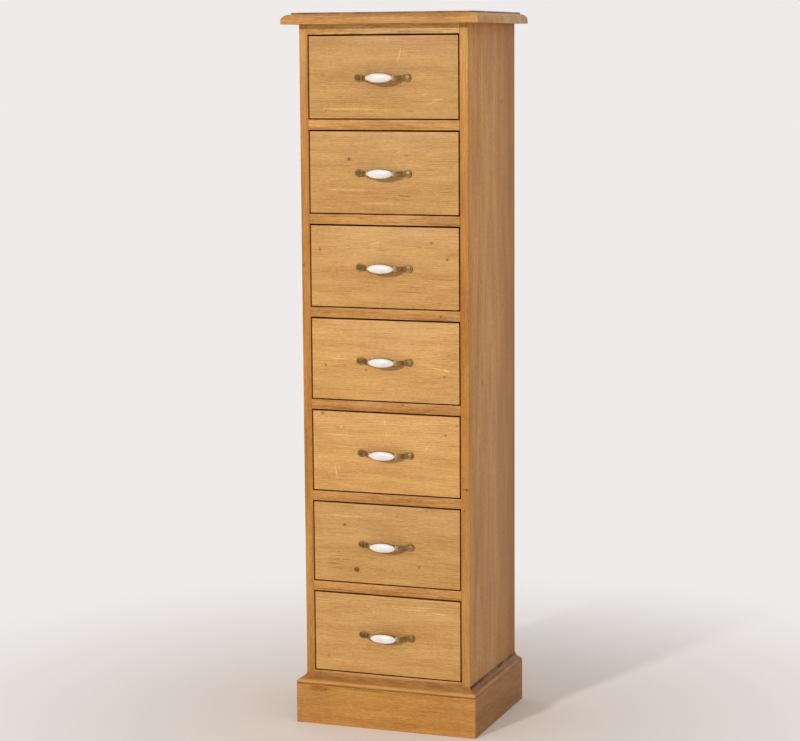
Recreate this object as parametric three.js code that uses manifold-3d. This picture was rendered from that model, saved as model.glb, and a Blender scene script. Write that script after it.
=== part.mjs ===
// A semainier: a tall narrow chest of solid softwood with seven drawers, one for each day of the week.
// Millimetres, +Z up, the drawer fronts face -Y. The origin is on the floor, at the centre of the outer box.

import * as THREE from "three";
import { mergeVertices } from "three/addons/utils/BufferGeometryUtils.js";
import Module from "manifold-3d";

const wasm = await Module();
wasm.setup();

// Body. Every length that two boards share is a multiple of a quarter millimetre, so that they meet exactly.
const bodyWidth = 345;
const bodyDepth = 292.5;
const bodyTop = 1385.5;
const sideThickness = 17.5;
const topOverhang = 27.5;
const backThickness = 6;
const backRebate = 9;

// Top board, from its underside: a flat edge, a rounded moulding and a small step
const topFlat = 7;
const topRoundHeight = 12;
const topRoundWidth = 16;
const topStep = 3.5;

// Boards between the drawers, let into the side panels behind a shoulder
const boardThickness = 19.5;
const openingHeight = 163.25;
const lowestOpening = 106.25;
const housingDepth = 6;
const shoulderDepth = 12;

// Plinth, with a hollow and a rounded nose along its top edge
const plinthThickness = 16;
const plinthFaceHeight = 79.5;
const quirkDepth = 0.75;
const quirkHeight = 2;
const noseRadius = 7.5;
const hollowRadius = 14;
const hollowFoot = 247;
const hollowTop = 192;
const glueBlockSize = 26;
const glueBlockHeight = 68;

// Drawers
const drawerCount = 7;
const frontThickness = 20;
const gapBeside = 2.5;
const gapBelow = 2.25;
const gapAbove = 3;
const drawerLength = 275;
const drawerWall = 12;
const drawerSideHeight = 150;
const drawerBottomThickness = 5;
const drawerBottomHeight = 10;
const drawerGrooveDepth = 6;
const runningGap = 0.5;
const fitGap = 0.25;
const tailCount = 3;
const tailLength = 14;
const tailNeck = 22;
const tailFlare = 3;
const stopWidth = 60;
const stopDepth = 18;
const stopHeight = 6;

// Bow handle with a ceramic insert
const handleHeight = 80;
const lugSpacing = 102;
const lugRadius = 7.5;
const lugJoinAngle = 45;
const lugThickness = 3;
const screwRadius = 4;
const screwTip = 2.75;
const screwHeight = 1.5;
const neckInset = 41;
const neckHalfWidth = 4.75;
const neckOut = 6;
const heelInset = 38;
const heelOut = 1;
const shoulderInset = 35;
const shoulderOut = 19;
const shoulderBack = 14.5;
const collarInset = 31;
const collarHalfWidth = 7;
const cradleHalfLength = 28.25;
const cradleHalfHeight = 10.25;
const cradleJoinAngle = 45;
const cradleBack = 16;
const cradleBulge = 1.5;
const cradleBulgeHalfLength = 24.5;
const cradleRim = 22.5;
const insertHalfLength = 27.25;
const insertHalfHeight = 9.25;
const insertSeat = 21;
const insertEdge = 2;
const insertCorners = 20;
const handleReach = 27;

// Places worked out from the sizes above
const half = bodyWidth / 2;
const inner = half - sideThickness;
const frontFace = (topOverhang - bodyDepth) / 2;
const backFace = frontFace + bodyDepth;
const backInner = backFace - backThickness;
const rowPitch = openingHeight + boardThickness;
const topThickness = topFlat + topRoundHeight + topStep;
const boardLevels = Array.from({ length: drawerCount + 1 }, (_, i) => lowestOpening + i * rowPitch);
const frontHalf = inner - gapBeside;
const frontBack = frontFace + frontThickness;
const drawerBack = frontFace + drawerLength;

const bodyWood = { color: 0xc98a4b, roughness: 0.5, metalness: 0 };
const frontWood = { color: 0xd6a263, roughness: 0.45, metalness: 0 };
const plinthWood = { color: 0xb9743a, roughness: 0.5, metalness: 0 };
const plainWood = { color: 0xd9bd8c, roughness: 0.7, metalness: 0 };
const bronze = { color: 0x6b5a3a, roughness: 0.4, metalness: 1 };
const ceramic = { color: 0xf4f0e8, roughness: 0.12, metalness: 0 };

const semainier = new THREE.Group();

function addPiece(parent, name, geometry, finish) {
  const mesh = new THREE.Mesh(geometry, new THREE.MeshStandardMaterial(finish));
  mesh.name = name;
  parent.add(mesh);
  return mesh;
}

// Solids are joined and cut with manifold-3d, and everything else keeps three.js geometry.
function toSolid(geometry) {
  const bare = geometry.clone();
  for (const extra of Object.keys(bare.attributes)) {
    if (extra !== "position") bare.deleteAttribute(extra);
  }
  const merged = mergeVertices(bare, 1e-4);
  return new wasm.Manifold(new wasm.Mesh({
    numProp: 3,
    vertProperties: new Float32Array(merged.attributes.position.array),
    triVerts: new Uint32Array(merged.index.array),
  }));
}

function toGeometry(solid) {
  const mesh = solid.getMesh();
  const geometry = new THREE.BufferGeometry();
  geometry.setAttribute("position", new THREE.BufferAttribute(mesh.vertProperties, 3));
  geometry.setIndex(new THREE.BufferAttribute(mesh.triVerts, 1));
  return geometry.toNonIndexed();
}

function cutFrom(geometry, tools) {
  return toGeometry(tools.reduce((left, tool) => left.subtract(toSolid(tool)), toSolid(geometry)));
}

function joined(geometries) {
  const [first, ...others] = geometries.map(toSolid);
  return toGeometry(others.reduce((sum, solid) => sum.add(solid), first));
}

function common(one, other) {
  return toGeometry(toSolid(one).intersect(toSolid(other)));
}

// A prism of an outline, with each corner (a, b) of its two ends sent to its place by a function
function prism(outline, place) {
  const shape = new THREE.Shape(outline.map(([a, b]) => new THREE.Vector2(a, b)));
  const geometry = new THREE.ExtrudeGeometry(shape, { depth: 1, bevelEnabled: false });
  const corners = geometry.attributes.position;
  for (let i = 0; i < corners.count; i += 1) {
    corners.setXYZ(i, ...place(corners.getX(i), corners.getY(i), corners.getZ(i) > 0.5));
  }
  return facingOut(geometry);
}

function facingOut(geometry) {
  const corners = geometry.attributes.position;
  const [a, b, c] = [new THREE.Vector3(), new THREE.Vector3(), new THREE.Vector3()];
  let volume = 0;
  for (let i = 0; i < corners.count; i += 3) {
    a.fromBufferAttribute(corners, i);
    b.fromBufferAttribute(corners, i + 1);
    c.fromBufferAttribute(corners, i + 2);
    volume += a.dot(b.clone().cross(c));
  }
  if (volume > 0) return geometry;
  for (let i = 0; i < corners.count; i += 3) {
    b.fromBufferAttribute(corners, i + 1);
    c.fromBufferAttribute(corners, i + 2);
    corners.setXYZ(i + 1, c.x, c.y, c.z);
    corners.setXYZ(i + 2, b.x, b.y, b.z);
  }
  return geometry;
}

// A rectangular board given by its two ends along each axis
function board([left, right], [front, back], [bottom, top]) {
  const outline = [[left, front], [right, front], [right, back], [left, back]];
  return prism(outline, (x, y, atEnd) => [x, y, atEnd ? top : bottom]);
}

function alongX(outline, from, to) {
  return prism(outline, (y, z, atEnd) => [atEnd ? to : from, y, z]);
}

function alongY(outline, from, to) {
  return prism(outline, (x, z, atEnd) => [x, atEnd ? to : from, z]);
}

// Points of a circular or elliptic arc, angles in degrees
function arc([centreA, centreB], radiusA, radiusB, startAngle, endAngle, steps) {
  return Array.from({ length: steps + 1 }, (_, i) => {
    const angle = THREE.MathUtils.degToRad(startAngle + ((endAngle - startAngle) * i) / steps);
    return [centreA + radiusA * Math.cos(angle), centreB + radiusB * Math.sin(angle)];
  });
}

// Top board: the same edge section seen from the front, on both sides, and from the side, at the front
function makeTopBoard() {
  const edge = topOverhang - topRoundWidth;
  const section = [
    [topOverhang, 0],
    ...arc([edge, topFlat], topRoundWidth, topRoundHeight, 0, 90, 8),
    [edge, topThickness],
  ];
  const rightEdge = section.map(([out, up]) => [half + out, bodyTop + up]);
  const leftEdge = section.map(([out, up]) => [-half - out, bodyTop + up]).reverse();
  const frontEdge = section.map(([out, up]) => [frontFace - out, bodyTop + up]).reverse();
  const fromFront = alongY([...rightEdge, ...leftEdge], frontFace - topOverhang, backFace);
  const outside = half + topOverhang;
  const backEdge = [[backFace, bodyTop], [backFace, bodyTop + topThickness]];
  return common(fromFront, alongX([...frontEdge, ...backEdge], -outside, outside));
}

function makeSide(hand) {
  const outer = hand * half;
  const inside = hand * inner;
  const width = [Math.min(outer, inside), Math.max(outer, inside)];
  const panel = board(width, [frontFace, backFace], [0, bodyTop]);
  const into = (depth) => {
    const bottomOfCut = inside + hand * depth;
    return [Math.min(inside, bottomOfCut), Math.max(inside, bottomOfCut)];
  };
  const housings = boardLevels.map((level) =>
    board(into(housingDepth), [frontFace + shoulderDepth, backFace], [level - boardThickness, level]));
  const rebate = board(into(backRebate), [backInner, backFace], [lowestOpening - boardThickness, bodyTop]);
  return cutFrom(panel, [...housings, rebate]);
}

// A full-depth board between the side panels, with a shoulder that hides its housings at the front
function makeShelf(level) {
  const shoulder = frontFace + shoulderDepth;
  const housed = inner + housingDepth;
  const plan = [
    [-inner, frontFace],
    [inner, frontFace],
    [inner, shoulder],
    [housed, shoulder],
    [housed, backInner],
    [-housed, backInner],
    [-housed, shoulder],
    [-inner, shoulder],
  ];
  return prism(plan, (x, y, atEnd) => [x, y, atEnd ? level : level - boardThickness]);
}

// Plinth section: distance out from the body, and height. The hollow starts where the nose ends.
function plinthSection() {
  const noseBottom = plinthFaceHeight + quirkHeight;
  const noseTop = noseBottom + noseRadius;
  const quirk = plinthThickness - quirkDepth;
  const noseEdge = plinthThickness - noseRadius;
  const [footOut, footUp] = arc([0, 0], hollowRadius, hollowRadius, hollowFoot, hollowFoot, 1)[0];
  const hollowCentre = [noseEdge - footOut, noseTop - footUp];
  const hollow = arc(hollowCentre, hollowRadius, hollowRadius, hollowFoot, hollowTop, 5);
  return [
    [0, 0],
    [plinthThickness, 0],
    [plinthThickness, plinthFaceHeight],
    [quirk, plinthFaceHeight + quirkDepth],
    [quirk, noseBottom - quirkDepth / 2],
    ...arc([noseEdge, noseBottom], noseRadius, noseRadius, 0, 90, 5),
    ...hollow.slice(1),
    [0, hollow.at(-1)[1]],
  ];
}

function makePlinthFront() {
  return prism(plinthSection(), (out, up, atEnd) =>
    [atEnd ? half + out : -half - out, frontFace - out, up]);
}

function makePlinthSide(hand) {
  return prism(plinthSection(), (out, up, atEnd) =>
    [hand * (half + out), atEnd ? backFace : frontFace - out, up]);
}

function makeGlueBlock(hand) {
  const corner = hand * inner;
  const outline = [
    [corner, frontFace],
    [corner - hand * glueBlockSize, frontFace],
    [corner, frontFace + glueBlockSize],
  ];
  return prism(outline, (x, y, atEnd) => [x, y, atEnd ? glueBlockHeight : 0]);
}

// Tails of one drawer side, or with a gap the sockets that they fit: outlines in y and z
function dovetails(gap) {
  const pitch = drawerSideHeight / tailCount;
  const tip = frontBack - tailLength - gap;
  return Array.from({ length: tailCount }, (_, i) => {
    const middle = runningGap + pitch * (i + 0.5);
    const root = tailNeck / 2 + gap;
    const wide = root + tailFlare;
    return [
      [tip, middle - wide],
      [frontBack, middle - root],
      [frontBack, middle + root],
      [tip, middle + wide],
    ];
  });
}

// The sockets run out through the ends of the front, so they are cut a little longer than the wall is thick.
function makeDrawerFront() {
  const blank = board([-frontHalf, frontHalf], [frontFace, frontBack], [gapBelow, openingHeight - gapAbove]);
  const sockets = [-1, 1].flatMap((hand) => dovetails(fitGap).map((outline) =>
    alongX(outline, hand * (frontHalf - drawerWall - fitGap), hand * (frontHalf + 1))));
  const groove = board(
    [-frontHalf + drawerGrooveDepth, frontHalf - drawerGrooveDepth],
    [frontBack - drawerGrooveDepth, frontBack + 1],
    [drawerBottomHeight - fitGap, drawerBottomHeight + drawerBottomThickness + fitGap],
  );
  return cutFrom(blank, [...sockets, groove]);
}

// Two sides and the back, dovetailed and glued into one frame. The bottom slides in under the back.
function makeDrawerFrame() {
  const top = runningGap + drawerSideHeight;
  const gapInFront = frontBack + fitGap;
  const walls = [-1, 1].flatMap((hand) => {
    const outside = hand * frontHalf;
    const inside = hand * (frontHalf - drawerWall);
    const span = [Math.min(outside, inside), Math.max(outside, inside)];
    const tails = dovetails(0).map((outline) => {
      const rooted = outline.map(([y, z]) => [y === frontBack ? gapInFront + 1 : y, z]);
      return alongX(rooted, ...span);
    });
    return [board(span, [gapInFront, drawerBack], [runningGap, top]), ...tails];
  });
  const overBottom = drawerBottomHeight + drawerBottomThickness + fitGap;
  const back = board([-frontHalf, frontHalf], [drawerBack - drawerWall, drawerBack], [overBottom, top]);
  const insideWall = frontHalf - drawerWall;
  const groove = board(
    [-insideWall - drawerGrooveDepth, insideWall + drawerGrooveDepth],
    [frontFace, drawerBack + 1],
    [drawerBottomHeight - fitGap, overBottom],
  );
  return cutFrom(joined([...walls, back]), [groove]);
}

function makeDrawerBottom() {
  const reach = frontHalf - drawerWall + drawerGrooveDepth - fitGap;
  return board(
    [-reach, reach],
    [frontBack - drawerGrooveDepth + fitGap, drawerBack],
    [drawerBottomHeight, drawerBottomHeight + drawerBottomThickness],
  );
}

// Handle, drawn about its own middle on the face of the drawer front: x along it, z up, and it stands out to -y
function makeBow() {
  const lug = lugSpacing / 2;
  const lugEnd = lug + lugRadius;
  const lugInner = lug - lugRadius;
  const frontSide = [
    [lugEnd, 0],
    [lugEnd, -lugThickness],
    [lugInner, -(lugThickness + neckOut) / 2],
    [neckInset, -neckOut],
    [shoulderInset, -shoulderOut],
    [collarInset, -cradleRim],
  ];
  const backSide = [
    [-collarInset, -shoulderBack],
    [-heelInset, -heelOut],
    [-lugInner, 0],
  ];
  const mirrored = (points) => points.map(([x, y]) => [-x, y]).reverse();
  const planView = [
    ...frontSide,
    ...mirrored(frontSide),
    ...backSide.toReversed(),
    ...arc([0, cradleBulge - cradleBack], cradleBulgeHalfLength, cradleBulge, 180, 360, 8),
    ...mirrored(backSide.toReversed()),
  ];
  const upperEdge = [
    ...arc([lug, 0], lugRadius, lugRadius, 0, 180 - lugJoinAngle, 8),
    [neckInset, neckHalfWidth],
    [collarInset, collarHalfWidth],
    ...arc([0, 0], cradleHalfLength, cradleHalfHeight, cradleJoinAngle, 180 - cradleJoinAngle, 10),
    [-collarInset, collarHalfWidth],
    [-neckInset, neckHalfWidth],
    ...arc([-lug, 0], lugRadius, lugRadius, lugJoinAngle, 180, 8),
  ];
  const lowerEdge = upperEdge.slice(1, -1).map(([x, z]) => [x, -z]).reverse();
  const highest = cradleHalfHeight + 1;
  const fromAbove = prism(planView, (x, y, atEnd) => [x, y, atEnd ? highest : -highest]);
  const fromFront = alongY([...upperEdge, ...lowerEdge], -handleReach, 1);
  const lastCorner = insertCorners - 1;
  const lastAngle = (360 * lastCorner) / insertCorners;
  const recess = arc([0, 0], insertHalfLength + fitGap, insertHalfHeight + fitGap, 0, lastAngle, lastCorner);
  const screws = [-lug, lug].map((x) =>
    new THREE.CylinderGeometry(screwRadius, screwTip, screwHeight + 1, 12)
      .translate(x, -lugThickness - (screwHeight - 1) / 2, 0));
  const bow = common(fromAbove, fromFront);
  return cutFrom(joined([bow, ...screws]), [alongY(recess, -handleReach, -insertSeat)]);
}

// The insert is half an ellipsoid with a short straight edge, turned as a round dome and then stretched.
function makeInsert() {
  const seat = insertSeat + fitGap;
  const dome = arc([0, insertEdge], 1, handleReach - seat - insertEdge, 0, 90, 5);
  const profile = [[0, 0], [1, 0], ...dome.slice(0, -1), [0, handleReach - seat]];
  const turned = new THREE.LatheGeometry(profile.map(([r, y]) => new THREE.Vector2(r, y)), insertCorners);
  turned.scale(insertHalfLength, 1, insertHalfHeight);
  turned.rotateX(Math.PI);
  turned.translate(0, -seat, 0);
  return facingOut(turned.toNonIndexed());
}

// Carcass
const carcass = new THREE.Group();
semainier.add(carcass);
addPiece(carcass, "top_board", makeTopBoard(), bodyWood);
addPiece(carcass, "left_side", makeSide(-1), bodyWood);
addPiece(carcass, "right_side", makeSide(1), bodyWood);
addPiece(carcass, "sub_top", makeShelf(boardLevels[drawerCount]), bodyWood);
for (let number = 1; number < drawerCount; number += 1) {
  addPiece(carcass, `divider_${number}`, makeShelf(boardLevels[drawerCount - number]), bodyWood);
}
addPiece(carcass, "bottom_board", makeShelf(boardLevels[0]), bodyWood);

const panelHalf = inner + backRebate;
const panelFoot = lowestOpening - boardThickness;
const backPanel = board([-panelHalf, panelHalf], [backInner, backFace], [panelFoot, bodyTop]);
addPiece(carcass, "back_panel", backPanel, plainWood);

addPiece(carcass, "plinth_front", makePlinthFront(), plinthWood);
addPiece(carcass, "plinth_left", makePlinthSide(-1), plinthWood);
addPiece(carcass, "plinth_right", makePlinthSide(1), plinthWood);
const plinthBack = board([-inner, inner], [backFace - plinthThickness, backFace], [0, panelFoot]);
addPiece(carcass, "plinth_back", plinthBack, plinthWood);
addPiece(carcass, "glue_block_left", makeGlueBlock(-1), plainWood);
addPiece(carcass, "glue_block_right", makeGlueBlock(1), plainWood);

// Drawers, numbered from the top, each with its stop on the board below it
for (let number = 1; number <= drawerCount; number += 1) {
  const level = boardLevels[drawerCount - number];
  const stopFront = frontBack + fitGap;
  const stopSpan = [-stopWidth / 2, stopWidth / 2];
  const stop = board(stopSpan, [stopFront, stopFront + stopDepth], [level, level + stopHeight]);
  addPiece(carcass, `drawer_stop_${number}`, stop, plainWood);

  const drawer = new THREE.Group();
  drawer.position.z = level;
  semainier.add(drawer);
  addPiece(drawer, `drawer_${number}_front`, makeDrawerFront(), frontWood);
  addPiece(drawer, `drawer_${number}_frame`, makeDrawerFrame(), plainWood);
  addPiece(drawer, `drawer_${number}_bottom`, makeDrawerBottom(), plainWood);

  const handle = new THREE.Group();
  handle.position.set(0, frontFace, handleHeight);
  drawer.add(handle);
  addPiece(handle, `handle_${number}_bow`, makeBow(), bronze);
  addPiece(handle, `handle_${number}_insert`, makeInsert(), ceramic);
}

export default semainier;
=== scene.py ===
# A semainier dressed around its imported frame: a tall chest of waxed softwood with seven drawers.
# Metres, +Z up, the drawer fronts face -Y. Every piece starts from the box of its node in the frame.
import math

import bpy
from mathutils import Matrix, Vector


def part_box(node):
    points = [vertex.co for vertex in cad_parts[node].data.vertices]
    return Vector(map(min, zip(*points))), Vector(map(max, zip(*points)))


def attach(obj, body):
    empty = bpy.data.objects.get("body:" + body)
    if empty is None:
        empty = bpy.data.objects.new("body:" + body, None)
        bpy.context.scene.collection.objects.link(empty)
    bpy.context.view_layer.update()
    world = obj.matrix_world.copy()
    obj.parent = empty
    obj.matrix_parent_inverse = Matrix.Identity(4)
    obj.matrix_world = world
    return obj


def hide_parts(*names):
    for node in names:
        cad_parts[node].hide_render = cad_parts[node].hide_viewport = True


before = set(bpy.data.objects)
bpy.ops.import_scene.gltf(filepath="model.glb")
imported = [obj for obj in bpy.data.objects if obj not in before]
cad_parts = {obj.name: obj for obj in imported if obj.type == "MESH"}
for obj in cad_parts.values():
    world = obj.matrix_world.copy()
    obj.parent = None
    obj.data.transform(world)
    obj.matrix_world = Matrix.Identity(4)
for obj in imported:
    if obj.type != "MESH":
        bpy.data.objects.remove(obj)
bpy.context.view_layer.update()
mm = 0.001
panelLow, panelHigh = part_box("right_side")
body = {"inner": panelLow.x, "half": panelHigh.x, "front": panelLow.y, "back": panelHigh.y}


# Modelling helpers, each one a few operators

def makeActive(*pieces):
    if bpy.context.mode != "OBJECT":
        bpy.ops.object.mode_set(mode="OBJECT")
    bpy.ops.object.select_all(action="DESELECT")
    for piece in pieces:
        piece.select_set(True)
        bpy.context.view_layer.objects.active = piece


def addBlock(name, low, high):
    makeActive()
    low, high = Vector(low), Vector(high)
    bpy.ops.mesh.primitive_cube_add(size=1, location=(low + high) / 2)
    piece = bpy.context.object
    piece.name = name
    piece.scale = high - low
    bpy.ops.object.transform_apply(location=True, rotation=True, scale=True)
    return piece


def addDisc(name, middle, facing, halfLength, halfHeight, corners=32):
    # a filled ellipse that faces "-Y" or "X", ready to be pulled out
    makeActive()
    bpy.ops.mesh.primitive_circle_add(vertices=corners, radius=1, fill_type="NGON")
    piece = bpy.context.object
    piece.name = name
    piece.scale = (halfLength, halfHeight, 1)
    piece.rotation_euler = (math.radians(90), 0, math.radians(0 if facing == "-Y" else 90))
    piece.location = middle
    bpy.ops.object.transform_apply(location=True, rotation=True, scale=True)
    return piece


def startEdit(piece, kind="FACE", action="SELECT"):
    # edit mode, with all of a piece picked or nothing of it
    makeActive(piece)
    bpy.ops.object.mode_set(mode="EDIT")
    bpy.ops.mesh.select_mode(type=kind)
    bpy.ops.mesh.select_all(action=action)


def endEdit():
    bpy.ops.object.mode_set(mode="OBJECT")


def pickFaces(piece, wanted):
    # edit mode, with the faces picked that the given test is true for
    startEdit(piece, "FACE", "DESELECT")
    endEdit()
    for face in piece.data.polygons:
        face.select = wanted(face)
    bpy.ops.object.mode_set(mode="EDIT")


def growFace(piece, wanted, steps, about=(0, 0, 0)):
    # each step pulls the picked faces by a move and then resizes them about a fixed point
    pickFaces(piece, wanted)
    for move, size in steps:
        bpy.ops.mesh.extrude_region_move(TRANSFORM_OT_translate={"value": move})
        bpy.ops.transform.resize(value=size, center_override=about)
    endEdit()


def raiseTop(piece, outline, backEnd):
    # pulls the top of a block up through a list of half widths, depths and heights, and its back stays
    steps = []
    for (width, depth, rise), (newWidth, newDepth, newRise) in zip(outline, outline[1:]):
        steps.append(((0, 0, newRise - rise), (newWidth / width, newDepth / depth, 1)))
    growFace(piece, lambda face: face.normal.z > 0.9, steps, (0, backEnd, 0))


def resizeFace(piece, wanted, size, about):
    pickFaces(piece, wanted)
    bpy.ops.transform.resize(value=size, center_override=about)
    endEdit()


def cutAway(piece, point, normal):
    # what lies on the side that the normal points to goes, and the cut is closed
    startEdit(piece)
    bpy.ops.mesh.bisect(plane_co=point, plane_no=normal, use_fill=True, clear_outer=True)
    endEdit()


def easeEdges(piece, width, segments=2, sharpness=50):
    startEdit(piece, "EDGE", "DESELECT")
    bpy.ops.mesh.edges_select_sharp(sharpness=math.radians(sharpness))
    bpy.ops.mesh.bevel(offset=width, segments=segments, affect="EDGES", clamp_overlap=True)
    endEdit()


def applyChange(piece, kind, **settings):
    makeActive(piece)
    change = piece.modifiers.new(kind.lower(), kind)
    for name, value in settings.items():
        setattr(change, name, value)
    bpy.ops.object.modifier_apply(modifier=change.name)


def combine(piece, operation, *tools):
    for tool in tools:
        applyChange(piece, "BOOLEAN", operation=operation, object=tool, solver="EXACT")
        bpy.data.objects.remove(tool)


def joinPieces(name, pieces):
    makeActive(*pieces)
    bpy.ops.object.join()
    bpy.context.object.name = name
    return bpy.context.object


def faceOut(piece):
    startEdit(piece)
    bpy.ops.mesh.remove_doubles(threshold=0.001 * mm)
    bpy.ops.mesh.normals_make_consistent(inside=False)
    endEdit()


def copyPiece(piece, name, move=(0, 0, 0)):
    twin = piece.copy()
    twin.data = piece.data.copy()
    twin.name = name
    twin.data.transform(Matrix.Translation(move))
    bpy.context.scene.collection.objects.link(twin)
    return twin


def mirrorPiece(piece, name):
    # the same piece for the other hand
    twin = copyPiece(piece, name)
    twin.data.transform(Matrix.Scale(-1, 4, (1, 0, 0)))
    faceOut(twin)
    return twin


def finishPiece(piece, body, slot, material, *nodes, smooth=35):
    makeActive(piece)
    bpy.ops.object.shade_smooth_by_angle(angle=math.radians(smooth))
    piece.data.materials.clear()
    piece.data.materials.append(material)
    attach(piece, body)
    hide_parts(*nodes)


# Camera, floor and light

cameraSetup = {
    "place": (1.58647, -4.352085, 1.333179),
    "turn": 20.236,  # degrees, to the left of straight back
    "down": 7.782,
    "lean": -0.41,
    "lens": 105.164,
    "sensor": 36.0,
}


def setUpCamera():
    data = bpy.data.cameras.new("camera")
    data.sensor_width = cameraSetup["sensor"]
    data.lens = cameraSetup["lens"]
    camera = bpy.data.objects.new("camera", data)
    bpy.context.scene.collection.objects.link(camera)
    turned = Matrix.Rotation(math.radians(cameraSetup["turn"]), 4, "Z")
    tilted = Matrix.Rotation(math.radians(90 - cameraSetup["down"]), 4, "X")
    leaned = Matrix.Rotation(math.radians(cameraSetup["lean"]), 4, "Z")
    camera.matrix_world = Matrix.Translation(cameraSetup["place"]) @ turned @ tilted @ leaned
    bpy.context.scene.camera = camera


# Small steps for building materials

def colour(red, green, blue):
    # a screen colour, 0 to 255, as the linear colour that a shader takes
    def linear(value):
        value /= 255
        return value / 12.92 if value <= 0.04045 else ((value + 0.055) / 1.055) ** 2.4
    return (linear(red), linear(green), linear(blue), 1)


def setInputs(tree, node, inputs):
    # what comes from another node is linked, and a plain value is set on the socket itself
    for name, value in inputs.items():
        if isinstance(value, bpy.types.NodeSocket):
            tree.links.new(value, node.inputs[name])
        else:
            node.inputs[name].default_value = value


def addNode(tree, kind, inputs, **settings):
    node = tree.nodes.new(kind)
    for name, value in settings.items():
        setattr(node, name, value)
    setInputs(tree, node, inputs)
    return node


def maths(tree, operation, *values):
    return addNode(tree, "ShaderNodeMath", dict(enumerate(values)), operation=operation).outputs[0]


def vectorMaths(tree, operation, *values):
    node = addNode(tree, "ShaderNodeVectorMath", dict(enumerate(values)), operation=operation)
    return node.outputs["Value" if operation == "LENGTH" else "Vector"]


def noise(tree, place, scale, detail=2.0, roughness=0.5):
    spread = vectorMaths(tree, "MULTIPLY", place, scale)
    inputs = {"Vector": spread, "Scale": 1.0, "Detail": detail, "Roughness": roughness}
    return addNode(tree, "ShaderNodeTexNoise", inputs)


def remap(tree, value, low, high, toLow=0.0, toHigh=1.0, kind="SMOOTHSTEP"):
    inputs = {"Value": value, "From Min": low, "From Max": high, "To Min": toLow, "To Max": toHigh}
    return addNode(tree, "ShaderNodeMapRange", inputs, interpolation_type=kind).outputs[0]


def addBump(tree, shader, strength, depth, height):
    bump = addNode(tree, "ShaderNodeBump", {"Strength": strength, "Distance": depth, "Height": height})
    setInputs(tree, shader, {"Normal": bump.outputs[0]})


def mixColour(tree, factor, first, second, blend="MIX"):
    inputs = {0: factor, 6: first, 7: second}  # a mix node has its colours in places 6 and 7
    settings = {"data_type": "RGBA", "blend_type": blend, "clamp_factor": False}
    return addNode(tree, "ShaderNodeMix", inputs, **settings).outputs[2]


def emptyTree(owner):
    owner.use_nodes = True
    owner.node_tree.nodes.clear()
    return owner.node_tree


def newMaterial(name):
    material = bpy.data.materials.new(name)
    tree = emptyTree(material)
    shader = tree.nodes.new("ShaderNodeBsdfPrincipled")
    addNode(tree, "ShaderNodeOutputMaterial", {"Surface": shader.outputs[0]})
    place = tree.nodes.new("ShaderNodeTexCoord").outputs["Object"]
    return material, tree, shader, place


def pattern(tree, place, scale, detail, roughness, *levels):
    # noise that is spread out between two of its levels, from 0 to 1 or between two more values
    return remap(tree, noise(tree, place, scale, detail, roughness).outputs[0], *levels)


def nearness(tree, place, middle, reach, solid=0.0):
    # 1 at a point, or in the solid share of an ellipsoid around it, and 0 outside the ellipsoid
    away = vectorMaths(tree, "SUBTRACT", place, middle)
    away = vectorMaths(tree, "MULTIPLY", away, tuple(1 / length for length in reach))
    return remap(tree, vectorMaths(tree, "LENGTH", away), solid, 1.0, 1.0, 0.0)


strokeShape = {
    "depth": 0.3,  # how far a stroke reaches into the wood, so that it stays whole on a moulding
    "solid": 0.3,  # share of its width that is drawn in full
}


def strokeMask(tree, place, start, end, width):
    # 1 along a short line between two places (x, z) on the front, and 0 away from it
    along, up = end[0] - start[0], end[1] - start[1]
    spot = {
        "Location": ((start[0] + end[0]) / 2, body["front"], (start[1] + end[1]) / 2),
        "Rotation": (0, -math.atan2(up, along), 0),
        "Scale": (math.hypot(along, up) / 2 + width, strokeShape["depth"], width),
    }
    local = addNode(tree, "ShaderNodeMapping", {"Vector": place, **spot}, vector_type="TEXTURE").outputs[0]
    return remap(tree, vectorMaths(tree, "LENGTH", local), strokeShape["solid"], 1.0, 1.0, 0.0)


studio = {
    "background": colour(238, 235, 234),
    "floorTone": colour(247, 241, 238),
    "floorSize": 14.0,
    "fadeFrom": 0.25,
    "fadeTo": 1.4,
    "skyTone": colour(255, 250, 244),
    "skyStrength": 0.60,
    "keyTone": colour(255, 250, 243),
    "keyStrength": 1.45,
    "keyDirection": (5.8, 19, -6.6),
    "keySoftness": 4.0,  # degrees
}


def seenOnly(tree):
    # 1 for the camera and for what a glossy or clear surface shows, so the backdrop itself lights nothing
    path = tree.nodes.new("ShaderNodeLightPath")
    seen = maths(tree, "MAXIMUM", path.outputs["Is Camera Ray"], path.outputs["Is Glossy Ray"])
    return maths(tree, "MAXIMUM", seen, path.outputs["Is Transmission Ray"])


def setUpWorld():
    world = bpy.data.worlds.new("studio")
    bpy.context.scene.world = world
    tree = emptyTree(world)
    sky = {"Color": studio["skyTone"], "Strength": studio["skyStrength"]}
    light = addNode(tree, "ShaderNodeBackground", sky)
    seen = addNode(tree, "ShaderNodeBackground", {"Color": studio["background"], "Strength": 1.0})
    mix = addNode(tree, "ShaderNodeMixShader", {0: seenOnly(tree), 1: light.outputs[0], 2: seen.outputs[0]})
    addNode(tree, "ShaderNodeOutputWorld", {"Surface": mix.outputs[0]})


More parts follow.
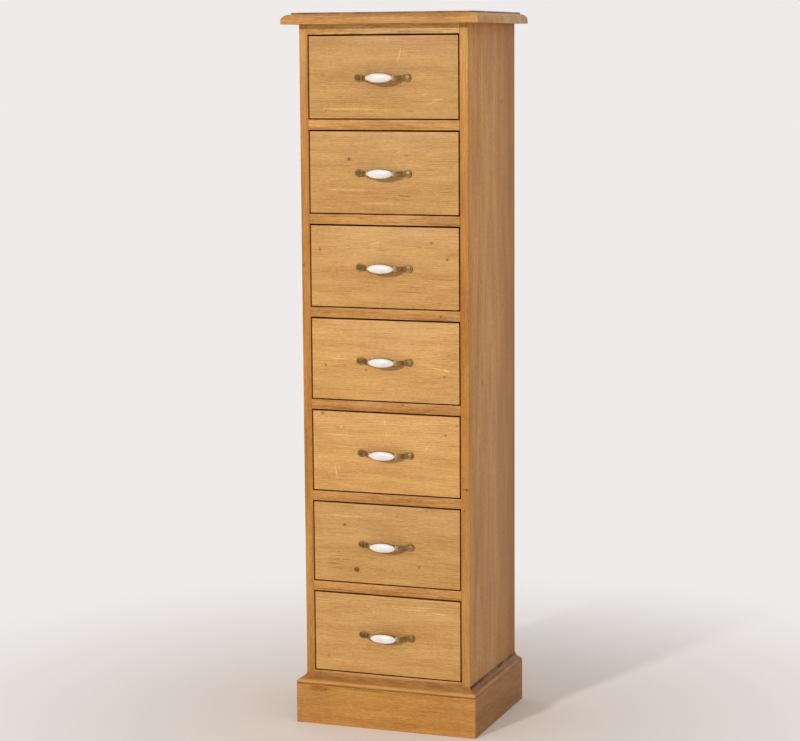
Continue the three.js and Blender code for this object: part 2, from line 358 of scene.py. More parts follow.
def setUpFloor():
    # pale and plain, and it fades into the background away from the chest
    makeActive()
    bpy.ops.mesh.primitive_circle_add(vertices=64, radius=studio["floorSize"], fill_type="NGON")
    floor = bpy.context.object
    floor.name = "floor"
    material = bpy.data.materials.new("studioFloor")
    tree = emptyTree(material)
    place = tree.nodes.new("ShaderNodeTexCoord").outputs["Object"]
    away = vectorMaths(tree, "LENGTH", place)
    far = maths(tree, "MULTIPLY", remap(tree, away, studio["fadeFrom"], studio["fadeTo"]), seenOnly(tree))
    near = addNode(tree, "ShaderNodeBsdfDiffuse", {"Color": studio["floorTone"]})
    glow = addNode(tree, "ShaderNodeEmission", {"Color": studio["background"], "Strength": 1.0})
    mix = addNode(tree, "ShaderNodeMixShader", {0: far, 1: near.outputs[0], 2: glow.outputs[0]})
    addNode(tree, "ShaderNodeOutputMaterial", {"Surface": mix.outputs[0]})
    floor.data.materials.append(material)


def setUpKeyLamp():
    data = bpy.data.lights.new("keyLamp", "SUN")
    data.energy = studio["keyStrength"]
    data.angle = math.radians(studio["keySoftness"])
    data.color = studio["keyTone"][:3]
    lamp = bpy.data.objects.new("keyLamp", data)
    bpy.context.scene.collection.objects.link(lamp)
    lamp.rotation_euler = Vector(studio["keyDirection"]).to_track_quat("-Z", "Y").to_euler()


setUpCamera()
setUpWorld()
setUpFloor()
setUpKeyLamp()
bpy.context.scene.view_settings.view_transform = "Standard"
print("camera, floor and light are set")


# Wood, bronze and glaze

woodSettings = {
    "ringWidth": 3.2 * mm,
    "lateWood": (0.3, 0.9),  # share of a ring where its dark wood begins, and where it is darkest
    "wander": (16 * mm, (1.6, 7.0, 7.0)),  # how far the rings stray, and how often in a metre
    "ripple": (2.4 * mm, (38.0, 60.0, 60.0)),
    "pith": (0.05, -0.15),  # behind and below the middle of the board, in its own pattern
    "rings": 0.28,  # this and the next four say how much each pattern darkens the wood
    "streaks": 0.44,
    "fibres": 0.44,
    "mottles": 0.34,
    "clouds": 0.46,
    "average": 0.44,  # from the light tone, 0, to the dark one, 1
    "toneLimits": (-0.8, 1.6),
    "flecks": 0.45,
    "fleckTone": colour(132, 84, 40),
    "knotTone": colour(118, 76, 30),
    "roughness": 0.48,
    "roughnessSwing": (0.06, -0.05),  # between the fibres and on them
    "specular": 0.32,
    "coat": 0.04,
    "coatRoughness": 0.32,
    "bump": 0.12,
    "bumpDepth": 0.3 * mm,
    "relief": {"rings": 0.4, "streaks": 0.3, "fibres": 0.4},
    "stain": 0.0,  # painted shade on the faces that look into the gaps round a drawer
    "stainTone": colour(124, 54, 8),
}

# For each pattern its scale along and across the grain, detail and roughness, and the levels that it is
# spread between. The streaks and clouds follow the wandering rings.
woodPatterns = {
    "streaks": ((17.0, 520.0, 520.0), 3.0, 0.65, 0.35, 0.65),
    "fibres": ((70.0, 1300.0, 1300.0), 2.0, 0.6, 0.35, 0.65),
    "mottles": ((150.0, 330.0, 330.0), 2.0, 0.6, 0.3, 0.7),
    "clouds": ((5.0, 40.0, 40.0), 2.0, 0.55, 0.3, 0.7),
}
fleckPattern = ((34.0, 620.0, 620.0), 1.0, 0.5, 0.66, 0.76)
strokePattern = ((420.0, 420.0, 420.0), 2.0, 0.6, 0.32, 0.6, 0.25, 1.0)
lineBlotchPattern = ((30.0, 90.0, 90.0), 3.0, 0.6, 0.3, 0.65, 0.45, 1.2)

knotShape = {
    "swirl": (8, 8, 4),  # reach of the turned rings, the halo and the core, in sizes of the knot
    "halo": (3.2, 3.2, 2.4),
    "core": (1.25, 1.25, 1.1),
    "coreSolid": 0.6,
    "turn": 2.4,  # the rings that the grain is pushed by
    "haloStrength": 0.25,
}

# where the faces in the gaps round the drawers are painted darker, as painted shade
gapShadeSpan = {
    "begins": (0.02 * mm, 0.4 * mm),  # behind the front plane
    "ends": (15 * mm, 19 * mm),
    "aside": (0.3 * mm, 1.2 * mm),  # into the side panels
}

turnToGrain = {"X": (0, 0, 0), "Y": (0, 0, math.radians(-90)), "Z": (0, math.radians(90), 0)}


def gapShadeMask(tree, axes):
    # 1 on what lies just behind the front plane, between the side panels, where the gaps get painted shade
    behind = maths(tree, "SUBTRACT", axes["Y"], body["front"])
    begins = remap(tree, behind, *gapShadeSpan["begins"])
    ends = remap(tree, behind, *gapShadeSpan["ends"], 1.0, 0.0)
    near, far = (body["inner"] + reach for reach in gapShadeSpan["aside"])
    aside = remap(tree, maths(tree, "ABSOLUTE", axes["X"]), near, far, 1.0, 0.0)
    return maths(tree, "MULTIPLY", maths(tree, "MULTIPLY", begins, ends), aside)


def stray(tree, place, reach, scale):
    # a push across the grain, half the reach either way
    push = vectorMaths(tree, "SUBTRACT", noise(tree, place, scale).outputs["Color"], (0.5, 0.5, 0.5))
    return vectorMaths(tree, "MULTIPLY", push, (0.0, reach, reach))


def knotMask(tree, place, middle, size, part, solid=0.0):
    return nearness(tree, place, middle, tuple(share * size for share in knotShape[part]), solid)


def makeWood(name, light, dark, grain, shift, knots=(), strokes=(), shadeAndWaxLines=(), fades=(), **changes):
    # A solid pattern: rings round a pith that runs along the grain, so that faces and ends agree.
    # Knots are (place, size, strength). Strokes are (start, end, width, strength) on the front face, lighter
    # where positive. Lines are (height, reach, strength, tone): bands of wax with painted shade, and bands of
    # painted highlight. Fades are (axis, from, to, and what the colour is multiplied by at its end).
    look = {**woodSettings, **changes}
    material, tree, shader, place = newMaterial(name)
    axes = addNode(tree, "ShaderNodeSeparateXYZ", {0: place}).outputs
    turned = {"Vector": place, "Location": shift, "Rotation": turnToGrain[grain]}
    along = addNode(tree, "ShaderNodeMapping", turned).outputs[0]

    bent = vectorMaths(tree, "ADD", along, stray(tree, along, *look["wander"]))
    bent = vectorMaths(tree, "ADD", bent, stray(tree, along, *look["ripple"]))
    across = vectorMaths(tree, "SUBTRACT", bent, (0.0, *look["pith"]))
    across = vectorMaths(tree, "MULTIPLY", across, (0.0, 1.0, 1.0))
    rings = maths(tree, "DIVIDE", vectorMaths(tree, "LENGTH", across), look["ringWidth"])
    spots = []
    for middle, size, strength in knots:
        swirl = knotMask(tree, place, middle, size, "swirl")
        rings = maths(tree, "MULTIPLY_ADD", swirl, knotShape["turn"], rings)
        halo = knotMask(tree, place, middle, size, "halo")
        core = knotMask(tree, place, middle, size, "core", knotShape["coreSolid"])
        spots.append((maths(tree, "MULTIPLY", halo, knotShape["haloStrength"] * strength), look["fleckTone"]))
        spots.append((maths(tree, "MULTIPLY", core, strength), look["knotTone"]))

    ring = maths(tree, "FRACT", rings)
    begins, darkest = look["lateWood"]
    darkens, lightens = remap(tree, ring, begins, darkest), remap(tree, ring, darkest, 1.0, 1.0, 0.0)
    parts = {"rings": maths(tree, "MULTIPLY", darkens, lightens)}
    for kind, settings in woodPatterns.items():
        parts[kind] = pattern(tree, bent if kind in ("streaks", "clouds") else along, *settings)
    depth = look["average"]
    for kind in parts:
        depth -= (0.3 if kind == "rings" else 0.5) * look[kind]  # the middle of each pattern
    for kind, part in parts.items():
        depth = maths(tree, "MULTIPLY_ADD", part, look[kind], depth)
    if strokes:
        broken = pattern(tree, place, *strokePattern)
        for start, end, width, strength in strokes:
            line = maths(tree, "MULTIPLY", strokeMask(tree, place, start, end, width), broken)
            depth = maths(tree, "MULTIPLY_ADD", line, -strength, depth)
    depth = remap(tree, depth, *look["toneLimits"], *look["toneLimits"], kind="LINEAR")
    wood = mixColour(tree, depth, light, dark)

    fleck = maths(tree, "MULTIPLY", pattern(tree, along, *fleckPattern), look["flecks"])
    wood = mixColour(tree, fleck, wood, look["fleckTone"])
    for share, tone in spots:
        wood = mixColour(tree, share, wood, tone)
    for axis, start, end, tone in fades:
        wood = mixColour(tree, remap(tree, axes[axis], start, end), wood, (*tone, 1), "MULTIPLY")
    # bands along a height: wax and painted shade in hollows and creases, and a painted highlight
    if shadeAndWaxLines:
        blotch = pattern(tree, along, *lineBlotchPattern)
        for level, reach, strength, tone in shadeAndWaxLines:
            away = maths(tree, "ABSOLUTE", maths(tree, "SUBTRACT", axes["Z"], level))
            shadeAndWax = maths(tree, "MULTIPLY", remap(tree, away, 0.0, reach, strength, 0.0), blotch)
            wood = mixColour(tree, shadeAndWax, wood, tone)
    # painted shade on the faces in the gaps round a drawer
    if look["stain"]:
        stain = maths(tree, "MULTIPLY", gapShadeMask(tree, axes), look["stain"])
        wood = mixColour(tree, stain, wood, look["stainTone"])

    relief = 0.0
    for kind, height in look["relief"].items():
        relief = maths(tree, "MULTIPLY_ADD", parts[kind], height, relief)
    addBump(tree, shader, look["bump"], look["bumpDepth"], relief)
    rough = (look["roughness"] + swing for swing in look["roughnessSwing"])
    rough = remap(tree, parts["fibres"], 0.0, 1.0, *rough, kind="LINEAR")
    setInputs(tree, shader, {
        "Base Color": wood, "Roughness": rough, "Specular IOR Level": look["specular"],
        "Coat Weight": look["coat"], "Coat Roughness": look["coatRoughness"],
    })
    return material


bronzeSettings = {
    "patches": ((110.0, 110.0, 110.0), 3.0, 0.5, 0.2, 0.85),
    "grain": (1500.0, 1500.0, 1500.0),
    "grainLevels": (0.3, 0.7),
    "roughnessSwing": 0.08,
    "bump": 0.12,
    "bumpDepth": 0.15 * mm,
    "rubbedAndHighlightAside": (25.5 * mm, 27 * mm),  # from the middle of a handle
    "rubbedAndHighlightOut": (14 * mm, 21 * mm),  # from the front of a closed drawer
}


def makeBronze(name, low, high, rubbedAndHighlight=None, roughness=0.42):
    # patches of two tones, and where it is given a third one that shows on the shoulders of a handle's arms:
    # that lighter tone is rubbed metal and a painted highlight
    look = bronzeSettings
    material, tree, shader, place = newMaterial(name)
    metal = mixColour(tree, pattern(tree, place, *look["patches"]), low, high)
    if rubbedAndHighlight:
        axes = addNode(tree, "ShaderNodeSeparateXYZ", {0: place}).outputs
        aside = remap(tree, maths(tree, "ABSOLUTE", axes["X"]), *look["rubbedAndHighlightAside"])
        out = remap(tree, maths(tree, "SUBTRACT", body["front"], axes["Y"]), *look["rubbedAndHighlightOut"])
        metal = mixColour(tree, maths(tree, "MULTIPLY", aside, out), metal, rubbedAndHighlight)
    grains = noise(tree, place, look["grain"]).outputs[0]
    rough = (roughness - look["roughnessSwing"], roughness + look["roughnessSwing"])
    rough = remap(tree, grains, *look["grainLevels"], *rough, kind="LINEAR")
    addBump(tree, shader, look["bump"], look["bumpDepth"], grains)
    setInputs(tree, shader, {"Base Color": metal, "Roughness": rough, "Metallic": 1.0})
    return material


glazeSettings = {
    "pooledTone": colour(228, 224, 221),
    "plainTone": colour(240, 237, 235),
    "pools": ((70.0, 70.0, 70.0), 1.0, 0.5, 0.3, 0.7),
    "roughness": 0.24,
    "coat": 0.25,
    "coatRoughness": 0.12,
    "bump": 0.04,
    "bumpDepth": 0.1 * mm,
}


def makeGlaze(name):
    look = glazeSettings
    material, tree, shader, place = newMaterial(name)
    pools = pattern(tree, place, *look["pools"])
    addBump(tree, shader, look["bump"], look["bumpDepth"], pools)
    setInputs(tree, shader, {
        "Base Color": mixColour(tree, pools, look["pooledTone"], look["plainTone"]),
        "Roughness": look["roughness"], "Coat Weight": look["coat"], "Coat Roughness": look["coatRoughness"],
    })
    return material


def onFront(x, z):
    # a place on the front plane of the body, and on its right side
    return (x, body["front"], z)


def onSide(y, z):
    return (body["half"], y, z)


bodyLight, bodyDark = colour(215, 161, 87), colour(180, 123, 54)
stileLight, stileDark = colour(201, 142, 66), colour(168, 110, 42)
plinthLight, plinthDark = colour(197, 144, 74), colour(166, 111, 48)
# the plinth's side tones are darker than its front's, as painted shade
plinthSideLight, plinthSideDark = colour(179, 132, 85), colour(141, 98, 60)
topLight, topDark = colour(213, 159, 91), colour(176, 121, 62)
sideLight, sideDark = colour(220, 168, 108), colour(190, 136, 82)
plainLight, plainDark = colour(226, 194, 146), colour(192, 152, 100)
# tones for bands along a height: the two wax tones also carry painted shade, and the last is a painted
# highlight
darkWaxAndShade, redWaxAndShade, paintedHighlight = colour(84, 48, 22), colour(112, 60, 22), colour(240, 190, 136)

stileKnots = ((onFront(-0.169, 0.919), 0.003, 0.5), (onFront(0.1655, 0.4905), 0.0022, 0.5))
stileMarks = (
    ((0.1585, 0.491), (0.1715, 0.490), 0.0022, -2.6), ((0.1615, 0.452), (0.1625, 0.445), 0.0016, -1.2),
)
railKnots = ((onFront(0.116, 0.826), 0.0022, 0.6), (onFront(0.036, 0.651), 0.0024, 0.4))
sideKnots = (
    (onSide(-0.049, 0.689), 0.0045, 0.45), (onSide(0.079, 0.828), 0.004, 0.4),
    (onSide(0.073, 1.233), 0.0045, 0.45),
)
# Bands on the plinth: red wax and painted shade in the hollow under the body, a painted highlight on the
# nose, painted shade in the quirk and at the floor. On the side boards the band at the body is a near-black
# painted shade.
plinthLines = (
    (0.0950, 0.0085, 0.62, redWaxAndShade), (0.0862, 0.0036, 0.25, paintedHighlight), (0.0803, 0.0024, 0.55, darkWaxAndShade),
    (0.0, 0.003, 0.3, darkWaxAndShade),
)
plinthSideLines = (
    (0.0968, 0.0060, 0.85, colour(62, 28, 3)), (0.0862, 0.0036, 0.15, paintedHighlight),
    (0.0803, 0.0018, 0.2, darkWaxAndShade), (0.0, 0.003, 0.3, darkWaxAndShade),
)
plinthMarks = (
    ((-0.168, 0.0715), (-0.112, 0.0725), 0.0085, -1.0), ((-0.105, 0.0765), (0.02, 0.0775), 0.0030, -0.7),
)
stileWood = makeWood(
    "stileWood", stileLight, stileDark, "Z", (0.2, 0.26, 0.3), stileKnots, stileMarks, ringWidth=5 * mm,
    clouds=0.7, specular=0.24, coat=0.0,
    fades=(
        ("Z", 1.2, 0.95, (0.90, 0.87, 0.82)), ("Z", 0.6, 0.25, (1.10, 1.27, 1.75)),
        ("Z", 1.2, 1.36, (1.12, 1.33, 1.72)),
    ),
)
# the side panels: darker and more saturated towards the back edge, darker towards the floor as painted shade,
# and an orange painted shade on their faces in the gaps
sideWood = makeWood(
    "sideWood", sideLight, sideDark, "Z", (0.35, 0.16, 0.1), sideKnots, ringWidth=7 * mm,
    wander=(30 * mm, (1.6, 7.0, 7.0)), clouds=0.55, streaks=0.3, mottles=0.5,
    specular=0.15, coat=0.0, roughness=0.56, stain=0.9, stainTone=colour(190, 100, 16),
    fades=(("Y", 0.0, 0.165, (0.70, 0.58, 0.28)), ("Z", 1.1, 0.2, (0.86, 0.87, 0.93))),
)
# the rails: painted shade on the faces in the gaps, and a band of red wax and painted shade just above the
# plinth
railWood = makeWood(
    "railWood", bodyLight, bodyDark, "X", (0.1, 0.18, 0.2), railKnots, streaks=0.8, clouds=0.75, rings=0.45,
    stain=0.9, shadeAndWaxLines=((0.099, 0.006, 0.55, redWaxAndShade),),
    fades=(("Z", 1.22, 0.9, (0.86, 0.82, 0.83)), ("Z", 1.25, 1.36, (1.17, 1.42, 2.1))),
)
# the top board: the dark line on the small step at the top of its moulding is wax and painted shade
topWood = makeWood(
    "topWood", topLight, topDark, "X", (0.3, 0.1, -1.3), ringWidth=5 * mm, clouds=0.7, streaks=0.6,
    shadeAndWaxLines=((1.4059, 0.0021, 0.95, darkWaxAndShade),), fades=(("X", 0.196, 0.2, (1.02, 1.1, 1.38)),),
)
plinthWood = makeWood(
    "plinthWood", plinthLight, plinthDark, "X", (0.4, 0.15, 0.05), (), plinthMarks, plinthLines,
    specular=0.22, coat=0.0,
)
# the plinth's side boards, in darker tones than its front: painted shade
plinthSideWood = makeWood(
    "plinthSideWood", plinthSideLight, plinthSideDark, "Y", (0.1, 0.2, 0.05), shadeAndWaxLines=plinthSideLines,
    specular=0.08, coat=0.0,
)
plainAlongX = makeWood("plainAlongX", plainLight, plainDark, "X", (0.5, 0.2, 0.1), coat=0.0, roughness=0.62)
plainAlongY = makeWood("plainAlongY", plainLight, plainDark, "Y", (0.2, 0.3, 0.1), coat=0.0, roughness=0.62)
plainAlongZ = makeWood("plainAlongZ", plainLight, plainDark, "Z", (0.3, 0.1, 0.2), coat=0.0, roughness=0.62)
# the old bronze's third tone, on the arms' shoulders, is rubbed metal and a painted highlight
oldBronze = makeBronze("oldBronze", colour(120, 94, 52), colour(168, 138, 90), colour(188, 164, 124))
# on the handles' left screws the dark bronze is painted shade; the bronze after it is a painted highlight
darkBronze = makeBronze("darkBronze", colour(104, 78, 46), colour(132, 100, 62), roughness=0.6)
highlightScrewBronze = makeBronze("highlightScrewBronze", colour(126, 100, 66), colour(160, 134, 98))
whiteGlaze = makeGlaze("whiteGlaze")
print("materials are made")


# Carcass

shelfNames = ["bottom_board"] + [f"divider_{n}" for n in range(6, 0, -1)] + ["sub_top"]
drawerNumbers = range(1, 8)

topEdge = {
    "flat": 7 * mm,
    "roundHeight": 12 * mm,
    "roundWidth": 16 * mm,
    "roundSteps": 10,
    "arris": 0.5 * mm,
}


def makeTopBoard():
    low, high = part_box("top_board")
    piece = addBlock("topBoard", low, (high.x, high.y, low.z + topEdge["flat"]))
    outline = [(high.x, high.y - low.y, topEdge["flat"])]
    for i in range(1, topEdge["roundSteps"] + 1):
        angle = math.radians(90 * i / topEdge["roundSteps"])
        inward = topEdge["roundWidth"] * (1 - math.cos(angle))
        rise = topEdge["flat"] + topEdge["roundHeight"] * math.sin(angle)
        outline.append((high.x - inward, high.y - low.y - inward, rise))
    outline.append((*outline[-1][:2], high.z - low.z))
    raiseTop(piece, outline, high.y)
    easeEdges(piece, topEdge["arris"])
    finishPiece(piece, "carcass", "body_wood", topWood, "top_board")


sidePanel = {
    "arris": 1.0 * mm,
    "shelfArris": 0.4 * mm,
    "housingDepth": 6 * mm,
    "shoulder": 12 * mm,
    "rebateDepth": 9 * mm,
}


def makeSides():
    low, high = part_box("right_side")
    piece = addBlock("rightSide", low, high)
    easeEdges(piece, sidePanel["arris"])
    cutters = []
    for name in shelfNames:
        shelfLow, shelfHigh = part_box(name)
        cutLow = (low.x - mm, low.y + sidePanel["shoulder"], shelfLow.z)
        cutHigh = (low.x + sidePanel["housingDepth"], high.y + mm, shelfHigh.z)
        cutters.append(addBlock("housing", cutLow, cutHigh))
    backLow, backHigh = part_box("back_panel")
    rebateLow = (low.x - mm, backLow.y, backLow.z)
    rebateHigh = (low.x + sidePanel["rebateDepth"], backHigh.y + mm, backHigh.z + mm)
    cutters.append(addBlock("rebate", rebateLow, rebateHigh))
    combine(piece, "DIFFERENCE", *cutters)
    left = mirrorPiece(piece, "leftSide")
    finishPiece(piece, "carcass", "body_wood", sideWood, "right_side")
    finishPiece(left, "carcass", "body_wood", sideWood, "left_side")
    for side in (piece, left):
        paintStile(side)


def paintStile(side):
    # the front edge of a side panel takes the colour of the stiles
    side.data.materials.append(stileWood)
    pickFaces(side, lambda face: face.normal.y < -0.3)
    side.active_material_index = 1
    bpy.ops.object.material_slot_assign()
    endEdit()


def makeShelves():
    # a narrow front strip between the side panels, and behind its shoulders the full width in the housings
    low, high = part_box("bottom_board")
    shoulder = low.y + sidePanel["shoulder"]
    model = addBlock("shelf", (-body["inner"], low.y, low.z), (body["inner"], shoulder, high.z))
    steps = [((0, 0, 0), (high.x / body["inner"], 1, 1)), ((0, high.y - shoulder, 0), (1, 1, 1))]
    growFace(model, lambda face: face.normal.y > 0.9, steps)
    faceOut(model)
    easeEdges(model, sidePanel["shelfArris"])
    for name in shelfNames:
        kind, rest = name.split("_")
        shelf = copyPiece(model, kind + rest.capitalize(), (0, 0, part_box(name)[0].z - low.z))
        finishPiece(shelf, "carcass", "body_wood", railWood, name)
    bpy.data.objects.remove(model)


plinthShape = {
    "face": 79.5 * mm,
    "quirk": 0.75 * mm,
    "quirkHeight": 2 * mm,
    "nose": 7.5 * mm,
    "hollow": 14 * mm,
    "hollowFoot": 247,  # degrees
    "hollowTop": 192,
    "curveSteps": 6,
    "arris": 0.3 * mm,
    "blockArris": 0.6 * mm,
    "topGap": 0.01 * mm,  # the least that the moulding stands out from the body
    "smooth": 40,  # degrees between faces that still look round
}


def plinthOutline(thickness):
    # distance out from the body and height, from the top of the plain face up
    quirk, nose, hollow = plinthShape["quirk"], plinthShape["nose"], plinthShape["hollow"]
    noseBottom = plinthShape["face"] + plinthShape["quirkHeight"]
    outline = [(thickness - quirk, plinthShape["face"] + quirk), (thickness - quirk, noseBottom - quirk / 2)]
    for i in range(plinthShape["curveSteps"] + 1):
        angle = math.radians(90 * i / plinthShape["curveSteps"])
        outline.append((thickness - nose + nose * math.cos(angle), noseBottom + nose * math.sin(angle)))
    first, last = math.radians(plinthShape["hollowFoot"]), math.radians(plinthShape["hollowTop"])
    middle = (thickness - nose - hollow * math.cos(first), noseBottom + nose - hollow * math.sin(first))
    for i in range(1, plinthShape["curveSteps"] + 1):
        angle = first + (last - first) * i / plinthShape["curveSteps"]
        outline.append((middle[0] + hollow * math.cos(angle), middle[1] + hollow * math.sin(angle)))
    return outline


def makePlinth():
    # the moulding is worked round one solid block, which is then cut into three boards at the mitres
    low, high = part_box("plinth_front")
    backEnd = body["back"]
    block = addBlock("plinth", (low.x, low.y, low.z), (high.x, backEnd, plinthShape["face"]))
    outline = [(high.x, backEnd - low.y, plinthShape["face"])]
    for out, height in plinthOutline(high.x - body["half"]):
        out = max(out, plinthShape["topGap"])
        outline.append((body["half"] + out, backEnd - body["front"] + out, height))
    raiseTop(block, outline, backEnd)

    rightCorner, leftCorner = (body["half"], body["front"], 0), (-body["half"], body["front"], 0)
    front = copyPiece(block, "plinthFront")
    cutAway(front, (0, body["front"], 0), (0, 1, 0))
    cutAway(front, rightCorner, (1, 1, 0))
    cutAway(front, leftCorner, (-1, 1, 0))
    right = copyPiece(block, "plinthRight")
    cutAway(right, (body["half"], 0, 0), (-1, 0, 0))
    cutAway(right, rightCorner, (-1, -1, 0))
    bpy.data.objects.remove(block)
    for piece in (front, right):
        faceOut(piece)
        easeEdges(piece, plinthShape["arris"], segments=1)
    left = mirrorPiece(right, "plinthLeft")
    boards = {"front": (front, plinthWood), "right": (right, plinthSideWood), "left": (left, plinthSideWood)}
    for side, (piece, wood) in boards.items():
        finishPiece(piece, "carcass", "plinth_wood", wood, f"plinth_{side}", smooth=plinthShape["smooth"])
    back = addBlock("plinthBack", *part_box("plinth_back"))
    easeEdges(back, plinthShape["blockArris"])
    finishPiece(back, "carcass", "plinth_wood", plinthWood, "plinth_back")


def makeGlueBlocks():
    low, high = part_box("glue_block_right")
    piece = addBlock("glueBlockRight", low, high)
    cutAway(piece, (high.x, high.y, 0), (-1, 1, 0))
    faceOut(piece)
    easeEdges(piece, plinthShape["blockArris"])
    left = mirrorPiece(piece, "glueBlockLeft")
    finishPiece(piece, "carcass", "plain_wood", plainAlongZ, "glue_block_right")
    finishPiece(left, "carcass", "plain_wood", plainAlongZ, "glue_block_left")


backBoards = {
    "count": 3,
    "gap": 0.4 * mm,
    "chamfer": 1.2 * mm,
    "screwShelves": ("bottom_board", "divider_5", "divider_3", "divider_1", "sub_top"),
    "screwInset": 24 * mm,  # from the edge of a board
    "screwRadius": 3.6 * mm,
    "screwHeight": 1.0 * mm,
    "screwCurve": ((0.6, 1.0), (0.3, 0.92), (0.1, 0.7)),
    "slotWidth": 0.9 * mm,
    "slotTurn": 37,  # degrees from one screw to the next
    "sinkDepth": 1.6 * mm,
    "sinkRadius": 4.6 * mm,
}


def makeBack():
    # boards side by side with chamfered joints, each replacing its share of the panel, on countersunk screws
    low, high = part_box("back_panel")
    pitch = (high.x - low.x) / backBoards["count"]
    half = (pitch - backBoards["gap"]) / 2
    board = addBlock("backBoard", (-half, low.y, low.z), (half, high.y, high.z))
    easeEdges(board, backBoards["chamfer"], segments=1)
    radius, depth = backBoards["screwRadius"], backBoards["sinkDepth"]
    sinkLength, flare = depth * screwCut["past"], backBoards["sinkRadius"] / radius
    heads = []
    for name in backBoards["screwShelves"]:
        shelfLow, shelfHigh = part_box(name)
        middle = (shelfLow.z + shelfHigh.z) / 2
        for x in (backBoards["screwInset"] - half, half - backBoards["screwInset"]):
            sink = addDisc("sink", (x, high.y - depth, middle), "-Y", radius, radius, corners=24)
            growFace(sink, lambda face: True, [((0, sinkLength, 0), (flare, 1, flare))], (x, 0, middle))
            closeBack(sink)
            combine(board, "DIFFERENCE", sink)
            head = addScrewHead("head", (0, 0, 0), backBoards, backBoards["slotTurn"] * len(heads))
            head.data.transform(Matrix.Rotation(math.pi, 4, "Z"))
            head.data.transform(Matrix.Translation((x, high.y - depth, middle)))
            heads.append(head)
    screws = joinPieces("backScrews", heads)
    for i in range(backBoards["count"]):
        move = ((i - (backBoards["count"] - 1) / 2) * pitch, 0, 0)
        boardCopy = copyPiece(board, f"backBoard{i + 1}", move)
        finishPiece(boardCopy, "carcass", "back_wood", plainAlongZ, "back_panel")
        finishPiece(copyPiece(screws, f"backScrews{i + 1}", move), "carcass", "bronze", darkBronze)
    for piece in (board, screws):
        bpy.data.objects.remove(piece)


screwCut = {
    "past": 1.1,  # how far a cutter goes past what it cuts, as a share
    "slotFloor": 0.45,  # share of the head's height that is left under the slot
}


def addScrewHead(name, middle, look, slotTurn):
    # a low slotted head that faces -Y
    radius, height, slotWidth = look["screwRadius"], look["screwHeight"], look["slotWidth"]
    head = addDisc(name, (0, 0, 0), "-Y", radius, radius, corners=24)
    steps = []
    size = 1.0
    for share, newSize in look["screwCurve"]:
        steps.append(((0, -share * height, 0), (newSize / size, 1, newSize / size)))
        size = newSize
    growFace(head, lambda face: True, steps)
    closeBack(head)
    far, floor = radius * screwCut["past"], -height * screwCut["slotFloor"]
    slot = addBlock("slot", (-far, -height * screwCut["past"], -slotWidth / 2), (far, floor, slotWidth / 2))
    slot.data.transform(Matrix.Rotation(math.radians(slotTurn), 4, "Y"))
    combine(head, "DIFFERENCE", slot)
    head.data.transform(Matrix.Translation(middle))
    return head


def closeBack(piece):
    # an extruded disc keeps an open rim at its back, which is filled here
    startEdit(piece, "EDGE", "DESELECT")
    bpy.ops.mesh.select_non_manifold()
    bpy.ops.mesh.edge_face_add()
    endEdit()
    faceOut(piece)


drawerStop = {
    "arris": 0.8 * mm,
}


def makeDrawerStops():
    for number in drawerNumbers:
        stop = addBlock(f"drawerStop{number}", *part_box(f"drawer_stop_{number}"))
        easeEdges(stop, drawerStop["arris"])
        finishPiece(stop, "carcass", "plain_wood", plainAlongX, f"drawer_stop_{number}")


makeTopBoard()
makeSides()
makeShelves()
makePlinth()
makeGlueBlocks()
makeBack()
makeDrawerStops()
print("the carcass is built")


# Drawers. One is modelled at its lowest place and copied to the seven levels.

drawer = {
    "frontArris": 0.7 * mm,
    "sideArris": 0.5 * mm,
    "backArris": 0.4 * mm,
    "bottomArris": 0.5 * mm,
    "wall": 12 * mm,
    "grooveDepth": 6 * mm,
    "grooveGap": 0.25 * mm,
    "tailCount": 3,
    "tailLength": 14 * mm,
    "tailNeck": 0.22,  # half the width of a tail at its root and at its tip, as shares of their pitch
    "tailTip": 0.28,
    "tailGap": 0.15 * mm,
}


def addTails(low, high, rootY, tipY, gap):
    # flared blocks through a drawer side, spread evenly between two heights, wider at the tip
    pitch = (high.z - low.z) / drawer["tailCount"]
    neck, tip = drawer["tailNeck"] * pitch + gap, drawer["tailTip"] * pitch + gap
    towards = 1 if tipY > rootY else -1
    tails = []
    for i in range(drawer["tailCount"]):
        middle = low.z + pitch * (i + 0.5)
        start = (low.x, min(rootY, tipY), middle - neck)
        tail = addBlock("tail", start, (high.x, max(rootY, tipY), middle + neck))
        resizeFace(tail, lambda face: face.normal.y * towards > 0.9, (1, 1, tip / neck), (0, tipY, middle))
        tails.append(tail)
    return tails


def cutOnBothSides(piece, tails):
    combine(piece, "DIFFERENCE", *[mirrorPiece(tail, "socket") for tail in tails], *tails)


